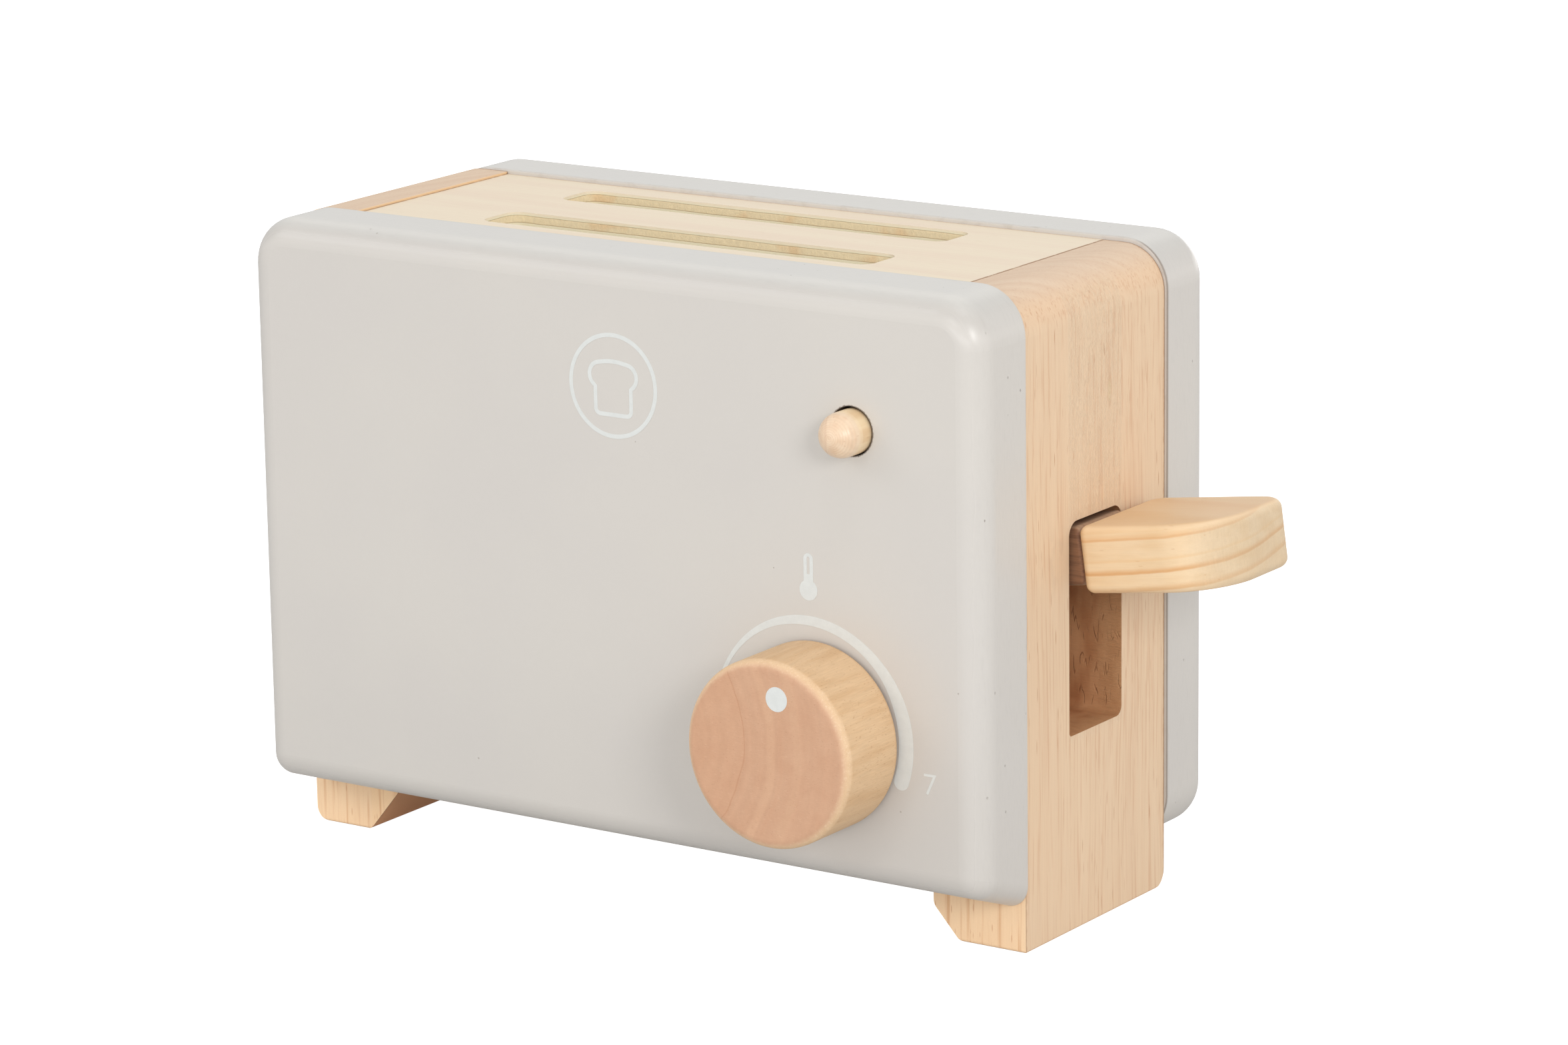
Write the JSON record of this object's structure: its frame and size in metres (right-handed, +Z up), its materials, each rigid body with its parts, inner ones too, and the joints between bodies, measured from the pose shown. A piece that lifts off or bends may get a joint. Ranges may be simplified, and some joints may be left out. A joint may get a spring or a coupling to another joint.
{
  "type": "toy toaster",
  "caption": "Wooden toy toaster with slots in its top, a push-down side lever with a wooden handle, a domed push button and a turning dial knob on its face.",
  "frame": {"origin": "bottom centre of the bounding box: on the table under the feet, midway between the left panel edge and the lever handle tip in X and between the knob face and the back panel in Y", "axes": "+X along the length towards the lever handle, +Y from the front panel to the back panel, +Z up; the knob and the button face -Y"},
  "size_m": [0.2144, 0.1068, 0.135],
  "materials": {
    "grey_painted_mdf": "satin grey paint on board",
    "rubberwood": "fine sanded, clear matt oil",
    "birch_plywood": "sanded plywood",
    "pine": "planed and sanded softwood",
    "end_grain_hardwood": "turned and sanded hardwood",
    "hardwood_dowel": "sanded hardwood dowel",
    "zinc_steel": "zinc plated steel",
    "spring_steel": "drawn spring wire",
    "magnet_nickel": "nickel plated",
    "felt": "pressed felt"
  },
  "bodies": {
    "body": {"front_panel": "grey_painted_mdf", "back_panel": "grey_painted_mdf", "left_end_block": "rubberwood", "right_end_block": "rubberwood", "panel_dowels": "hardwood_dowel", "top_board": "birch_plywood", "slot_divider": "birch_plywood", "base_board": "birch_plywood", "base_cleats": "pine", "base_screws": "zinc_steel", "lever_pivot_pin": "hardwood_dowel", "pivot_spacers": "hardwood_dowel", "upper_spring_eye": "zinc_steel", "lift_spring": "spring_steel", "button_guide": "hardwood_dowel", "button_spring": "spring_steel", "release_pivot_screw": "zinc_steel", "release_spacer": "hardwood_dowel", "knob_washer": "felt"},
    "lever": {"lever_arm": "rubberwood", "lever_handle": "pine", "handle_dowels": "hardwood_dowel", "toast_rests": "hardwood_dowel", "striker_disc": "zinc_steel", "lower_spring_eye": "zinc_steel"},
    "button": {"push_button": "hardwood_dowel", "button_collar": "hardwood_dowel"},
    "release": {"release_arm": "birch_plywood", "hold_down_magnet": "magnet_nickel"},
    "knob": {"knob": "end_grain_hardwood", "knob_axle": "hardwood_dowel", "retaining_washer": "zinc_steel", "axle_screw": "zinc_steel"}
  },
  "joints": [
    {"name": "lever_swing", "type": "hinge", "parent": "body", "child": "lever", "pos_m": [-0.07721, 0.0094, 0.057], "axis": [0, -1, 0], "range_deg": [-11.5, 0], "stiffness_Nm_per_rad": 0.5, "springref_deg": 8.59, "deforming": ["lift_spring"]},
    {"name": "button_press", "type": "slide", "parent": "body", "child": "button", "axis": [0, 1, 0], "range_m": [0, 0.0025], "stiffness_N_per_m": 300, "springref_m": -0.003, "deforming": ["button_spring"]},
    {"name": "release_swing", "type": "hinge", "parent": "body", "child": "release", "pos_m": [0.04294, 0.0234, 0.1196], "axis": [1, 0, 0], "range_deg": [0, 10.8]},
    {"name": "knob_turn", "type": "hinge", "parent": "body", "child": "knob", "pos_m": [0.03464, -0.0346, 0.0442], "axis": [0, -1, 0], "continuous": true}
  ],
  "couplings": [
    {"joint": "release_swing", "follows": "button_press", "rad_per_m": 75}
  ]
}
